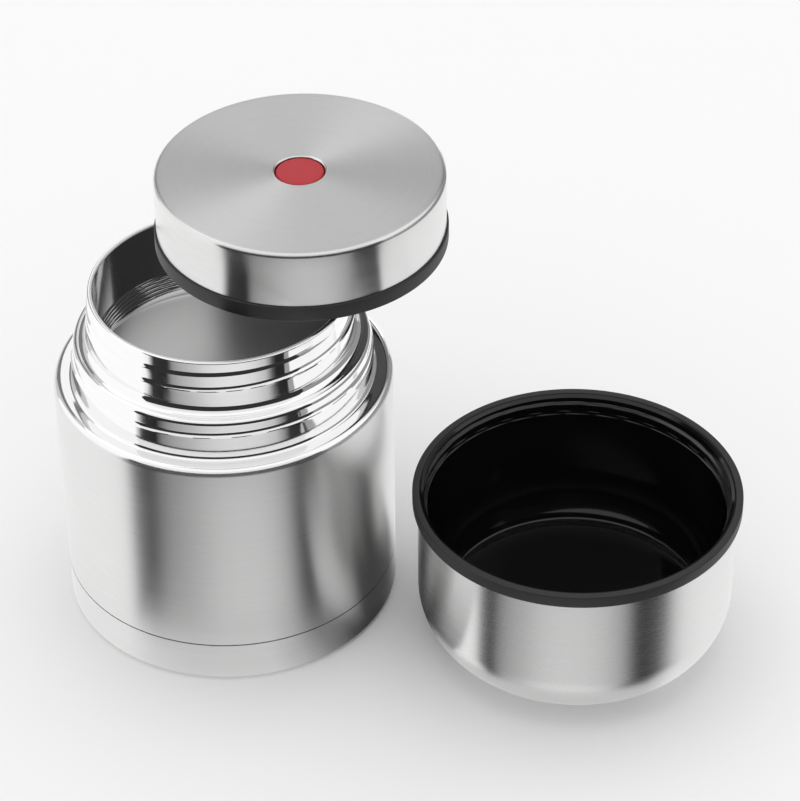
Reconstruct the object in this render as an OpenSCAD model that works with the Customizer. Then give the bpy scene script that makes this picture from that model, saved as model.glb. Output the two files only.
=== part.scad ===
// Insulated food jar: a double-walled steel jar, a screw lid with a press button,
// and a bowl that is also the jar's outer cover. The lid lies flat and off centre on
// the jar's lip, and the bowl stands beside the jar, rim up.
// Millimetres. +Z is up. The origin is where the jar's axis meets the table.

/* [Jar] */
// Outer diameter of the jar
jar_d = 96; // [92:1:120]
// Height of the shoulder above the table
shoulder_z = 76.2; // [60:0.1:140]
// Rounding where the wall turns in to the shoulder
shoulder_round = 2.2; // [1:0.1:3]
// Height of the seam between the base cup and the wall
seam_z = 13.3; // [11:0.1:20]
// Rounding around the foot
base_round = 2.2; // [1:0.1:4]
// Thickness of the steel sheet
sheet = 0.6; // [0.4:0.1:0.8]
// Width of the vacuum space between the two walls
vacuum_gap = 3.8; // [3:0.1:6]

/* [Neck] */
// Width of the shoulder around the lower threaded ring
shoulder_w = 6.1; // [4:0.1:20]
// Height of the lower threaded ring above the shoulder
ring_h = 12.2; // [11:0.1:20]
// Width of the ledge that the closed lid rests on
ledge_w = 4.9; // [4.5:0.1:7]
// Height of the neck above the ledge
neck_h = 16; // [14:0.1:24]
// Height of a thread ridge
thread_h = 0.7; // [0.5:0.05:0.9]
// Pitch of the thread that holds the lid
neck_pitch = 4.2; // [3.6:0.1:5]
// Pitch of the thread that holds the bowl
ring_pitch = 3.5; // [3:0.1:4]

/* [Inner vessel] */
// Height of the inside floor above the table
floor_z = 9.4; // [8.6:0.1:11]
// Rounding between the inside floor and wall
corner_r = 10; // [5:0.5:20]
// Pitch of the fine thread inside the neck
fine_pitch = 1.65; // [1.2:0.05:2]

/* [Lid] */
// How far the lid lies off the jar's axis
lid_shift = 32.3; // [0:0.1:36]
// Bearing of the lid from the jar's axis, in degrees from +X
lid_bearing = 45.6; // [20:0.1:160]
// Height of the dark rim below the steel cover
rim_h = 4.7; // [3:0.1:6]
// How far the rim stands proud of the steel cover
rim_proud = 0.6; // [0.3:0.1:1.5]
// Rounding around the top of the steel cover
lid_round = 1.5; // [0.8:0.1:3]
// Room between the lid's deck and the top of its cover
lid_head = 3.1; // [2.9:0.1:6]
// Thickness of the sealing ring
gasket_t = 1.4; // [1:0.1:2.5]

/* [Button] */
// Diameter of the button
button_d = 13.6; // [10:0.1:20]
// How far the button can be pressed
button_travel = 2; // [1:0.1:2.6]
// Diameter of the valve disc
seal_d = 15; // [10:0.5:17]
// Coils of the spring under the button
spring_coils = 5; // [3:1:7]

/* [Bowl] */
// Height of the bowl
bowl_h = 51.2; // [46:0.1:70]
// Radius of the turn from the bowl's wall to its foot
bowl_round = 18.6; // [12:0.1:20]
// Height of the dark band around the bowl's mouth
band_h = 3.7; // [3:0.1:6]
// How far that band stands proud of the bowl's wall
band_proud = 1.5; // [0.8:0.1:2.5]
// Height of the inside floor of the bowl
bowl_floor = 9.2; // [6:0.1:14]
// Gap between the jar and the bowl
bowl_gap = 8.35; // [4:0.05:60]
// Bearing of the bowl from the jar's axis, in degrees from +X
bowl_bearing = -14.87; // [-80:0.01:10]

/* [Hidden] */

steel = "silver";
black = "dimgray";
red = "crimson";

// Sides of a full turn, steps of an arc, and degrees between the rings of a thread
round_fn = 96;
arc_steps = 8;
thread_step = 7.5;

// Clearances: nested pieces, pieces that slide past each other, a mating thread, a welded joint
fit_gap = 0.15;
run_gap = 0.3;
mate_gap = 0.4;
weld_gap = 0.08;
// Overrun of every cut
over = 1;

// Jar, from the table up
jar_r = jar_d / 2;
seam_gap = 0.4;
joggle_r = jar_r - sheet - fit_gap;
vessel_r = jar_r - 2 * sheet - vacuum_gap;
bottom_gap = 4;
bottom_z = floor_z - 2 * sheet - bottom_gap;
bottom_flange = 1.8;
shell_foot_z = bottom_z - bottom_flange;

// Ring stamped into the jar's foot: its place, width and height
stamp_edge = 8.5;
stamp_w = 5;
stamp_h = 1;
stamp_out = jar_r - stamp_edge;
stamp_in = stamp_out - stamp_w;

// Lower ring and neck, from the wall in to the mouth
ring_r = jar_r - shoulder_w;
neck_r = ring_r - ledge_w;
neck_vacuum = 0.6;
mouth_r = neck_r - 2 * sheet - neck_vacuum;
ledge_z = shoulder_z + ring_h;
lip_z = ledge_z + neck_h;
lip_band = 3.5;
lip_round = 1.1;
lip_weld = 0.9;
ring_band = 1.1;
ring_fillet = 1;
neck_fillet = 1.5;

// A thread ridge: its sunk root, its flank, the groove floor beside it, degrees over which it fades,
// and how far its crest stays under the plain band next to it
root_sink = 0.25;
flank = 0.5;
groove_floor = 0.6;
fade = 45;
crest_under = 0.05;
least_fade_share = 0.15;
// Where each ridge ends at the top: its bearing, and its middle below the lip, ledge or rim
neck_end_bearing = 85;
neck_end_drop = 4.5;
neck_turns = 1.3;
ring_end_bearing = 89;
ring_end_drop = 1.5;
ring_turns = 1.39;
bowl_end_bearing = 193;
bowl_end_drop = 2;
bowl_turns = 1.7;
// Ridges that run in those grooves: width at the wall and at the crest
mate_w = 1.4;
mate_crest = 0.5;
lid_turns = 1.05;
// Fine thread inside the neck: its ridge, and its top end below the ledge
fine_h = 0.4;
fine_w = 1;
fine_crest = 0.3;
fine_drop = 1.6;
fine_turns = 3.8;

// Inside of the vessel: the neck flares out to the wall in two equal arcs
mouth_drop = 8.9;
flare_share = 0.58;
flare_r = (vessel_r - mouth_r) * flare_share;
flare_angle = acos(1 - (vessel_r - mouth_r) / (2 * flare_r));
flare_top_z = ledge_z - mouth_drop;
flare_low_z = flare_top_z - 2 * flare_r * sin(flare_angle);

// Heat foil, getter and the bead that closes the pumping hole
foil_t = 0.3;
foil_end_gap = 1;
getter_r = 3.6;
getter_h = 1.4;
getter_place = 22;
clip_wall = 0.3;
pump_hole_r = 0.8;
bead_r = 2.4;
bead_h = 1;

// Lid, measured up from the plane under its rim
skirt_gap = 0.4;
skirt_in = neck_r + thread_h + skirt_gap;
skirt_wall = 2.15;
skirt_out = skirt_in + skirt_wall;
lid_r = skirt_out + fit_gap + sheet;
rim_r = lid_r + rim_proud;
rim_round = 0.4;
plug_gap = 0.6;
plug_r = mouth_r - plug_gap;
plug_wall = 1.8;
gasket_squeeze = 0.1;
slot_h = neck_h + gasket_t - gasket_squeeze;
deck_t = 1.6;
deck_z = slot_h + deck_t;
lid_h = deck_z + lid_head;
plate_t = 1.6;
lid_z = lip_z + run_gap;
lid_x = lid_shift * cos(lid_bearing);
lid_y = lid_shift * sin(lid_bearing);

// Button and valve
button_r = button_d / 2;
button_gap = 0.33;
button_sink = 0.3;
button_round = 0.5;
collar_r = button_r + button_gap;
collar_h = 2.6;
collar_round = 0.6;
flange_w = 1.5;
flange_r = button_r + flange_w;
flange_t = 1.4;
flange_z = lid_h - collar_h - run_gap - flange_t;
boss_r = 3.4;
boss_h = 2.8;
stem_r = 2;
tail_r = 1.5;
tail_h = 1.4;
seal_r = seal_d / 2;
seal_t = 1.5;
seal_gap = 0.1;
pocket_spare = 1;
pocket_h = button_travel + tail_h + seal_t + seal_gap + pocket_spare;
pocket_gap = 2;
pocket_r = seal_r + pocket_gap;
pocket_wall = 1.5;
roof_z = pocket_h + plate_t;
hole_r = stem_r + run_gap;
guide_in = flange_r + run_gap;
guide_wall = 1.4;
guide_out = guide_in + guide_wall;
guide_floor = 1.4;
guide_rim_w = 2.5;
guide_rim_r = guide_out + guide_rim_w;
guide_rim_t = 1.1;
clip_t = 0.5;
clip_r = 3.2;
clip_neck_r = 1.1;
wire_r = 0.4;
wire_sides = 6;
coil_rings = 8;
spring_r = 6;
spring_low_z = roof_z + guide_floor;
spring_h = flange_z - spring_low_z;

// Sealing ring and insulation of the lid
gasket_in = plug_r + run_gap;
gasket_out = skirt_in - run_gap;
spigot_h = 2.4;
spigot_wall = 1.5;
spigot_r = plug_r - plug_wall - fit_gap;

// Bowl
liner_t = 0.95;
floor_t = 1.6;
liner_gap = 0.7;
liner_r = ring_r + thread_h + liner_gap;
bowl_r = liner_r + liner_t + fit_gap + sheet;
band_r = bowl_r + band_proud;
band_web = 1.5;
band_in = liner_r + liner_t + fit_gap;
band_round = 0.4;
mouth_chamfer = 0.7;
liner_rim_drop = 0.3;
floor_ring_in = 5.3;
floor_ring_r = liner_r - floor_ring_in;
floor_ring_h = 1.2;
liner_corner = 1.2;
// The liner's wall turns in below liner_turn_z, in one arc down to the ring around its floor
liner_turn_z = 24;
liner_rise = liner_turn_z - bowl_floor - floor_ring_h;
liner_run = liner_r - floor_ring_r;
liner_angle = 2 * atan(liner_run / liner_rise);
liner_turn_r = liner_rise / sin(liner_angle);
bowl_reach = jar_r + bowl_gap + band_r;
bowl_x = bowl_reach * cos(bowl_bearing);
bowl_y = bowl_reach * sin(bowl_bearing);

// Points of an arc about [x, y], from bearing a to bearing b
function arc(x, y, r, a, b) =
    [for (i = [0:arc_steps]) let (t = a + (b - a) * i / arc_steps) [x + r * cos(t), y + r * sin(t)]];

// How much of its height a ridge has on ring k of n, so that it fades in and out
function fade_share(k, n) =
    max(least_fade_share, min(1, k * thread_step / fade, (n - k) * thread_step / fade));

// Faces of a tube of n + 1 rings with m points each, and its two end faces
function tube_faces(n, m) = concat(
    [[for (j = [m - 1:-1:0]) j]],
    [[for (j = [0:m - 1]) n * m + j]],
    [for (k = [0:n - 1], j = [0:m - 1]) let (i = (j + 1) % m) [k * m + j, k * m + i, (k + 1) * m + i]],
    [for (k = [0:n - 1], j = [0:m - 1]) let (i = (j + 1) % m) [k * m + j, (k + 1) * m + i, (k + 1) * m + j]]);

module revolve(outline) rotate_extrude($fn = round_fn) polygon(outline);

// Solid of revolution between radii r0 and r1, from height z0 to z1
module hoop(r0, r1, z0, z1) revolve([[r0, z0], [r1, z0], [r1, z1], [r0, z1]]);

// Right-handed ridge on a wall. Its middle ends at height top on that bearing and winds down from there.
module thread(wall_r, crest_r, top, bearing, pitch, turns, base_w, crest_w) {
    side = sign(crest_r - wall_r);
    root_r = wall_r - side * root_sink;
    n = ceil(turns * 360 / thread_step);
    rings = [for (k = [0:n]) let (
        turn = (k - n) * thread_step,
        z = top + pitch * turn / 360,
        r = wall_r + (crest_r - wall_r) * fade_share(k, n))
        for (p = [[root_r, -base_w], [r, -crest_w], [r, crest_w], [root_r, base_w]])
            [p[0] * cos(bearing + turn), p[0] * sin(bearing + turn), z + side * p[1] / 2]];
    polyhedron(rings, tube_faces(n, 4));
}

// Jar

module outer_shell() color(steel) {
    difference() {
        revolve(concat(
            [[0, shell_foot_z], [joggle_r, shell_foot_z], [joggle_r, seam_z], [jar_r, seam_z]],
            arc(jar_r - shoulder_round, shoulder_z - shoulder_round, shoulder_round, 0, 90),
            arc(ring_r + ring_fillet, shoulder_z + ring_fillet, ring_fillet, 270, 180),
            [[ring_r, ledge_z - ring_band - thread_h], [ring_r + thread_h, ledge_z - ring_band]],
            arc(ring_r, ledge_z - thread_h, thread_h, 0, 90),
            arc(neck_r + neck_fillet, ledge_z + neck_fillet, neck_fillet, 270, 180),
            [[neck_r, lip_z - lip_band - thread_h], [neck_r + thread_h, lip_z - lip_band]],
            arc(neck_r + thread_h - lip_round, lip_z - lip_round, lip_round, 0, 90),
            [[0, lip_z]]));
        revolve(concat(
            [[0, shell_foot_z - over], [joggle_r - sheet, shell_foot_z - over]],
            [[joggle_r - sheet, seam_z + sheet], [jar_r - sheet, seam_z + sheet]],
            arc(jar_r - shoulder_round, shoulder_z - shoulder_round, shoulder_round - sheet, 0, 90),
            [[ring_r - sheet, shoulder_z - sheet], [ring_r - sheet, ledge_z - sheet]],
            [[neck_r - sheet, ledge_z - sheet], [neck_r - sheet, lip_z - lip_weld]],
            [[mouth_r + sheet + weld_gap, lip_z - lip_weld], [mouth_r + sheet + weld_gap, lip_z + over]],
            [[0, lip_z + over]]));
    }
    thread(neck_r, neck_r + thread_h - crest_under, lip_z - neck_end_drop, neck_end_bearing,
           neck_pitch, neck_turns, neck_pitch - groove_floor, neck_pitch - groove_floor - 2 * flank);
    thread(ring_r, ring_r + thread_h - crest_under, ledge_z - ring_end_drop, ring_end_bearing,
           ring_pitch, ring_turns, ring_pitch - groove_floor, ring_pitch - groove_floor - 2 * flank);
}

// Outline of the vessel at distance t outside its inner face, up to height top
function vessel_outline(t, top) = concat(
    [[0, floor_z - t]],
    arc(vessel_r - corner_r, floor_z + corner_r, corner_r + t, -90, 0),
    arc(vessel_r - flare_r, flare_low_z, flare_r + t, 0, flare_angle),
    arc(mouth_r + flare_r, flare_top_z, flare_r - t, 180 + flare_angle, 180),
    [[mouth_r + t, top], [0, top]]);

module inner_vessel() color(steel) {
    difference() {
        revolve(vessel_outline(sheet, lip_z));
        revolve(vessel_outline(0, lip_z + over));
    }
    thread(mouth_r, mouth_r - fine_h, ledge_z - fine_drop, neck_end_bearing, fine_pitch, fine_turns,
           fine_w, fine_crest);
}

module heat_foil() color("goldenrod")
    hoop(vessel_r + sheet + fit_gap, vessel_r + sheet + fit_gap + foil_t,
         floor_z + corner_r, flare_low_z - foil_end_gap);

module outer_bottom() color(steel) difference() {
    translate([0, 0, shell_foot_z])
        cylinder(h = bottom_flange + sheet, r = joggle_r - sheet - weld_gap, $fn = round_fn);
    translate([0, 0, shell_foot_z - over])
        cylinder(h = bottom_flange + over, r = joggle_r - 2 * sheet - weld_gap, $fn = round_fn);
    translate([0, 0, bottom_z - over])
        cylinder(h = sheet + 2 * over, r = pump_hole_r, $fn = round_fn);
}

// Tray that holds the getter on the vacuum bottom
module getter_clip() color(steel) translate([getter_place, 0, bottom_z + sheet]) {
    cylinder(h = clip_wall, r = getter_r + weld_gap + clip_wall, $fn = round_fn);
    hoop(getter_r + weld_gap, getter_r + weld_gap + clip_wall, 0, clip_wall + getter_h);
}

module getter_pellet() color("slategray") translate([getter_place, 0, bottom_z + sheet + clip_wall])
    cylinder(h = getter_h, r = getter_r, $fn = round_fn);

// Glass bead that closes the pumping hole from below
module seal_bead() color("olivedrab")
    revolve(concat(
        [[0, bottom_z]],
        [for (p = arc(0, 0, 1, 0, -90)) [p[0] * bead_r, bottom_z + p[1] * bead_h]]));

// Outline of the base cup at distance t inside its outer face, up to height top
function cup_outline(t, top) = concat(
    [[0, t], [stamp_in - t, t], [stamp_in + stamp_h - t, stamp_h + t]],
    [[stamp_out - stamp_h + t, stamp_h + t], [stamp_out + t, t]],
    arc(jar_r - base_round, base_round, base_round - t, -90, 0),
    [[jar_r - t, top], [0, top]]);

module base_cup() color(steel) difference() {
    revolve(cup_outline(0, seam_z - seam_gap));
    revolve(cup_outline(sheet, seam_z + over));
}

// Lid: each piece is drawn about its own axis, up from the plane under the rim

module at_lid() translate([lid_x, lid_y, lid_z]) children();

module lid_cover() color(steel) at_lid() difference() {
    revolve(concat(
        [[0, rim_h + fit_gap], [lid_r, rim_h + fit_gap]],
        arc(lid_r - lid_round, lid_h - lid_round, lid_round, 0, 90),
        arc(collar_r + collar_round, lid_h - collar_round, collar_round, 90, 180),
        [[collar_r, lid_h - collar_h], [0, lid_h - collar_h]]));
    revolve(concat(
        [[0, rim_h], [lid_r - sheet, rim_h]],
        arc(lid_r - lid_round, lid_h - lid_round, lid_round - sheet, 0, 90),
        [[collar_r + sheet, lid_h - sheet], [collar_r + sheet, lid_h - collar_h], [0, lid_h - collar_h]]));
    translate([0, 0, rim_h])
        cylinder(h = lid_h, r = collar_r, $fn = round_fn);
}

module lid_body() color(black) at_lid() {
    revolve(concat(
        [[skirt_in, 0]],
        arc(rim_r - rim_round, rim_round, rim_round, -90, 0),
        arc(rim_r - rim_round, rim_h - rim_round, rim_round, 0, 90),
        [[skirt_out, rim_h]],
        arc(lid_r - lid_round, lid_h - lid_round, lid_round - sheet - fit_gap, 0, 90),
        [[skirt_out - plug_wall, lid_h - sheet - fit_gap], [skirt_out - plug_wall, deck_z]],
        [[guide_out + fit_gap, deck_z], [guide_out + fit_gap, slot_h], [plug_r - plug_wall, slot_h]],
        [[plug_r - plug_wall, plate_t], [plug_r, plate_t], [plug_r, slot_h], [skirt_in, slot_h]]));
    thread(skirt_in, neck_r + mate_gap, neck_h - neck_end_drop - neck_pitch / 2, neck_end_bearing,
           neck_pitch, lid_turns, mate_w, mate_crest);
}

module lid_foam() color("wheat") at_lid()
    hoop(max(pocket_r + pocket_wall, guide_out) + run_gap, spigot_r - spigot_wall - run_gap,
         plate_t, slot_h - run_gap);

// Plate that closes the plug, with the valve's pocket in its middle
module plug_cover() color(black) at_lid() difference() {
    union() {
        cylinder(h = plate_t, r = plug_r, $fn = round_fn);
        cylinder(h = roof_z, r = pocket_r + pocket_wall, $fn = round_fn);
        hoop(spigot_r - spigot_wall, spigot_r, 0, plate_t + spigot_h);
    }
    translate([0, 0, -over])
        cylinder(h = pocket_h + over, r = pocket_r, $fn = round_fn);
    cylinder(h = roof_z + over, r = hole_r, $fn = round_fn);
}

module lip_gasket() color("white") at_lid()
    hoop(gasket_in, gasket_out, slot_h - gasket_t - seal_gap, slot_h - seal_gap);

module button_guide() color(black) at_lid() difference() {
    union() {
        translate([0, 0, roof_z])
            cylinder(h = deck_z + guide_rim_t - roof_z, r = guide_out, $fn = round_fn);
        translate([0, 0, deck_z])
            cylinder(h = guide_rim_t, r = guide_rim_r, $fn = round_fn);
    }
    translate([0, 0, spring_low_z])
        cylinder(h = lid_h, r = guide_in, $fn = round_fn);
    translate([0, 0, roof_z - over])
        cylinder(h = guide_floor + 2 * over, r = hole_r, $fn = round_fn);
}

module button() color(red) at_lid() difference() {
    revolve(concat(
        [[0, flange_z - boss_h], [boss_r, flange_z - boss_h], [boss_r, flange_z], [flange_r, flange_z]],
        [[flange_r, flange_z + flange_t], [button_r, flange_z + flange_t]],
        arc(button_r - button_round, lid_h - button_sink - button_round, button_round, 0, 90),
        [[0, lid_h - button_sink]]));
    translate([0, 0, flange_z - boss_h - over])
        cylinder(h = boss_h + over, r = stem_r + weld_gap, $fn = round_fn);
}

// Spring from the guide's floor to the button's flange
module button_spring() color(steel) at_lid() {
    n = spring_coils * coil_rings;
    rise = spring_h - 2 * (wire_r + seal_gap);
    rings = [for (k = [0:n], j = [0:wire_sides - 1]) let (
        turn = k * 360 / coil_rings, b = j * 360 / wire_sides, r = spring_r + wire_r * cos(b))
        [r * cos(turn), r * sin(turn), spring_low_z + wire_r + seal_gap + rise * k / n + wire_r * sin(b)]];
    polyhedron(rings, tube_faces(n, wire_sides));
}

module valve_stem() color(steel) at_lid() {
    seat_z = pocket_h - seal_gap;
    tail_z = seat_z - seal_t - tail_h;
    neck_z = seat_z - seal_t - weld_gap - clip_t - weld_gap;
    revolve([[0, tail_z], [tail_r, tail_z], [tail_r, neck_z], [clip_neck_r, neck_z],
             [clip_neck_r, seat_z - seal_t], [tail_r, seat_z - seal_t], [tail_r, seat_z], [stem_r, seat_z],
             [stem_r, flange_z - weld_gap], [0, flange_z - weld_gap]]);
}

module valve_seal() color("white") at_lid()
    hoop(tail_r + weld_gap, seal_r, pocket_h - seal_gap - seal_t, pocket_h - seal_gap);

// Open ring that snaps round the stem's neck and holds the seal
module stem_clip() color(steel) at_lid() {
    clip_z = pocket_h - seal_gap - seal_t - weld_gap - clip_t;
    difference() {
        hoop(clip_neck_r + weld_gap, clip_r, clip_z, clip_z + clip_t);
        translate([0, -clip_neck_r, clip_z - over])
            cube([clip_r + over, 2 * clip_neck_r, clip_t + 2 * over]);
    }
}

// Bowl: each piece is drawn about its own axis

module at_bowl() translate([bowl_x, bowl_y, 0]) children();

module bowl_shell() color(steel) at_bowl() difference() {
    revolve(concat([[0, 0]], arc(bowl_r - bowl_round, bowl_round, bowl_round, -90, 0),
                   [[bowl_r, bowl_h - band_web - fit_gap], [0, bowl_h - band_web - fit_gap]]));
    revolve(concat([[0, sheet]], arc(bowl_r - bowl_round, bowl_round, bowl_round - sheet, -90, 0),
                   [[bowl_r - sheet, bowl_h + over], [0, bowl_h + over]]));
}

// Outline of the liner at distance t outside its inner face, up to height top
function liner_outline(t, floor_t, top) = concat(
    [[0, bowl_floor - floor_t]],
    arc(floor_ring_r - liner_corner, bowl_floor + liner_corner, liner_corner + floor_t, -90, -liner_angle),
    arc(liner_r - liner_turn_r, liner_turn_z, liner_turn_r + t, -liner_angle, 0),
    [[liner_r + t, top], [0, top]]);

module bowl_liner() color(black) at_bowl() {
    liner_top = bowl_h - liner_rim_drop;
    difference() {
        revolve(liner_outline(liner_t, floor_t, liner_top));
        revolve(liner_outline(0, 0, liner_top + over));
        revolve([[0, liner_top - mouth_chamfer], [liner_r, liner_top - mouth_chamfer],
                 [liner_r + mouth_chamfer, liner_top], [liner_r + mouth_chamfer, liner_top + over],
                 [0, liner_top + over]]);
    }
    thread(liner_r, ring_r + mate_gap, bowl_h - bowl_end_drop, bowl_end_bearing, ring_pitch, bowl_turns,
           mate_w, mate_crest);
}

// Band that hooks over the edge of the bowl's steel shell
module bowl_band() color(black) at_bowl() difference() {
    revolve(concat(
        [[0, bowl_h - band_h]],
        arc(band_r - band_round, bowl_h - band_h + band_round, band_round, -90, 0),
        arc(band_r - band_round, bowl_h - band_round, band_round, 0, 90),
        arc(band_in + band_round, bowl_h - band_round, band_round, 90, 180),
        [[band_in, bowl_h - band_web], [0, bowl_h - band_web]]));
    translate([0, 0, bowl_h - band_h - over])
        cylinder(h = band_h - band_web + over, r = bowl_r + fit_gap, $fn = round_fn);
    translate([0, 0, bowl_h - band_web - over])
        cylinder(h = band_web + 2 * over, r = band_in, $fn = round_fn);
}

outer_shell();
inner_vessel();
heat_foil();
outer_bottom();
getter_clip();
getter_pellet();
seal_bead();
base_cup();
lid_cover();
lid_body();
lid_foam();
plug_cover();
lip_gasket();
button_guide();
button();
button_spring();
valve_stem();
valve_seal();
stem_clip();
bowl_shell();
bowl_liner();
bowl_band();
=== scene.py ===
# %% [markdown]
# # An insulated food jar, dressed for the camera
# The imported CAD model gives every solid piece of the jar: a double-walled steel jar, a
# screw lid with a red press button, and a bowl that is also the jar's outer cover. It
# could be rendered as it comes, but its round walls are made of flat strips, and polished
# steel shows each of them. So the pieces that the eye meets are turned again here, much
# finer, from the same sizes. The hidden pieces keep their CAD mesh and get a finish.

# %% Load the CAD frame
import math
import bpy
import numpy as np
from mathutils import Matrix, Vector


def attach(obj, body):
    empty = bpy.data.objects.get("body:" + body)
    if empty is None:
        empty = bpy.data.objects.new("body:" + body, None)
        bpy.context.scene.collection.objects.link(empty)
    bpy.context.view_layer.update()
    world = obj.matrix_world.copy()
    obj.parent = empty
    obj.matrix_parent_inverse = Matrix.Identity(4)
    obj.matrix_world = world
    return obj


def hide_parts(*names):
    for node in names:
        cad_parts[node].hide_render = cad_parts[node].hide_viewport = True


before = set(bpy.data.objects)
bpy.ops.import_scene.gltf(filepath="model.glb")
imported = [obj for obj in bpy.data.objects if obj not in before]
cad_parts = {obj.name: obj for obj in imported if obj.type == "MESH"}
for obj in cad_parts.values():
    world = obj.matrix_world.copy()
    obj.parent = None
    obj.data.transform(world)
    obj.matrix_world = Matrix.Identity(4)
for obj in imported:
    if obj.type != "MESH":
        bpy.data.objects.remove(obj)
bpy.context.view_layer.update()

# %% [markdown]
# ## The sizes
# The pieces below have to lie where the CAD pieces lie, because those carry the motion and
# the weight. One way is to measure the imported meshes. Writing the designer's sizes again
# is clearer, since each number then says what it is. They are in millimetres. Most names
# end in R for a radius, Z for a height above the foot, and H for how high something is.

# %% Sizes of the jar, in millimetres
MM = 0.001
SHEET, FIT = 0.6, 0.15
JAR_R, SHOULDER_Z, SHOULDER_ROUND, SEAM_Z, SEAM_GAP = 48.0, 76.2, 2.2, 13.3, 0.4
BASE_ROUND, STAMP_IN, STAMP_OUT, STAMP_H = 2.2, 34.5, 39.5, 1.0
RING_R, LEDGE_Z, NECK_R, LIP_Z, MOUTH_R = 41.9, 88.4, 37.0, 104.4, 35.2
THREAD_H, FINE_H, MOUTH_EDGE = 0.7, 0.5, 0.3
VESSEL_R, FLOOR_Z, CORNER_R, FLARE_R, FLARE_TOP_Z = 43.0, 9.4, 10.0, 4.524, 79.5
FLARE_ANGLE = math.acos(1 - (VESSEL_R - MOUTH_R) / (2 * FLARE_R))
FLARE_LOW_Z = FLARE_TOP_Z - 2 * FLARE_R * math.sin(FLARE_ANGLE)
print("neck flares from", round(FLARE_LOW_Z, 2), "to", FLARE_TOP_Z, "mm")

# %% Sizes of the lid and the button, in millimetres
LID_X, LID_Y, LID_Z, LID_H = 22.599, 23.077, 104.7, 22.0
LID_R, RIM_R, RIM_H, RIM_ROUND, LID_ROUND = 41.0, 41.6, 4.7, 0.4, 1.5
SKIRT_IN, SKIRT_OUT, PLUG_R, PLUG_WALL, PLUG_Z = 38.1, 40.25, 34.6, 1.8, 1.6
SLOT_Z, DECK_Z, GUIDE_OUT = 17.3, 18.9, 10.0
COLLAR_R, COLLAR_H, COLLAR_ROUND = 7.13, 2.6, 0.6
BUTTON_R, BUTTON_ROUND, BUTTON_SUNK, BOSS_IN, BOSS_OUT, BOSS_Z = 6.8, 0.5, 0.3, 2.08, 3.4, 14.9
FLANGE_R, FLANGE_Z, FLANGE_TOP_Z = 8.3, 17.7, 19.1
LID = (LID_X, LID_Y, LID_Z)
print("lid stands", round(math.hypot(LID_X, LID_Y), 1), "mm off the jar's axis")

# %% Sizes of the bowl, in millimetres
BOWL_X, BOWL_Y, BOWL_H, BOWL_R, BOWL_ROUND = 99.406, -26.394, 51.2, 45.0, 18.6
BAND_R, BAND_IN, BAND_H, BAND_WEB, BAND_ROUND = 46.5, 44.4, 3.7, 1.5, 0.4
LINER_R, LINER_T, LINER_BASE, LINER_FLOOR, LINER_EDGE = 43.3, 0.95, 1.6, 9.2, 1.2
LINER_TURN_Z, LINER_STEP, LINER_LEVEL_Z, LINER_BEVEL = 24.0, 5.3, 38, 0.7
LINER_TOP_Z, LINER_THREAD_H = BOWL_H - 0.3, 1.0
BOWL = (BOWL_X, BOWL_Y, 0)
print("bowl stands", round(math.hypot(BOWL_X, BOWL_Y), 1), "mm off the jar's axis")

# %% [markdown]
# ## Turning a piece on a lathe
# Nearly every visible piece of this jar was spun, rolled or turned, so each is a surface
# of revolution. Blender has a Screw modifier and a Spin tool for that. A grid of points
# worked out with numpy does the same and leaves room for more: here a function may move
# each point after the turning, and that is how the screw threads get onto the walls.

# %% Outlines
def arc(x, y, r, start, end, cuts=8):
    """Points [x + r cos t, y + r sin t], with t going evenly from start to end, in degrees."""
    t = np.radians(np.linspace(start, end, cuts + 1))
    return np.stack([x + r * np.cos(t), y + r * np.sin(t)], 1)


def line(x0, y0, x1, y1, cuts=1):
    """Points going evenly from (x0, y0) to (x1, y1)."""
    return np.linspace([x0, y0], [x1, y1], cuts + 1)


def outline(*parts):
    """One list of (radius, height) points from several, without points that repeat."""
    points = np.concatenate([np.atleast_2d(np.asarray(p, float)) for p in parts])
    far = np.linalg.norm(np.diff(points, axis=0), axis=1) > 1e-6
    return points[np.concatenate([[True], far])]


# %% The lathe
SHARP = 34
FAN_R, LINER_FAN_R, SHELL_FAN_R = 20, 18, 12


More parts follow.
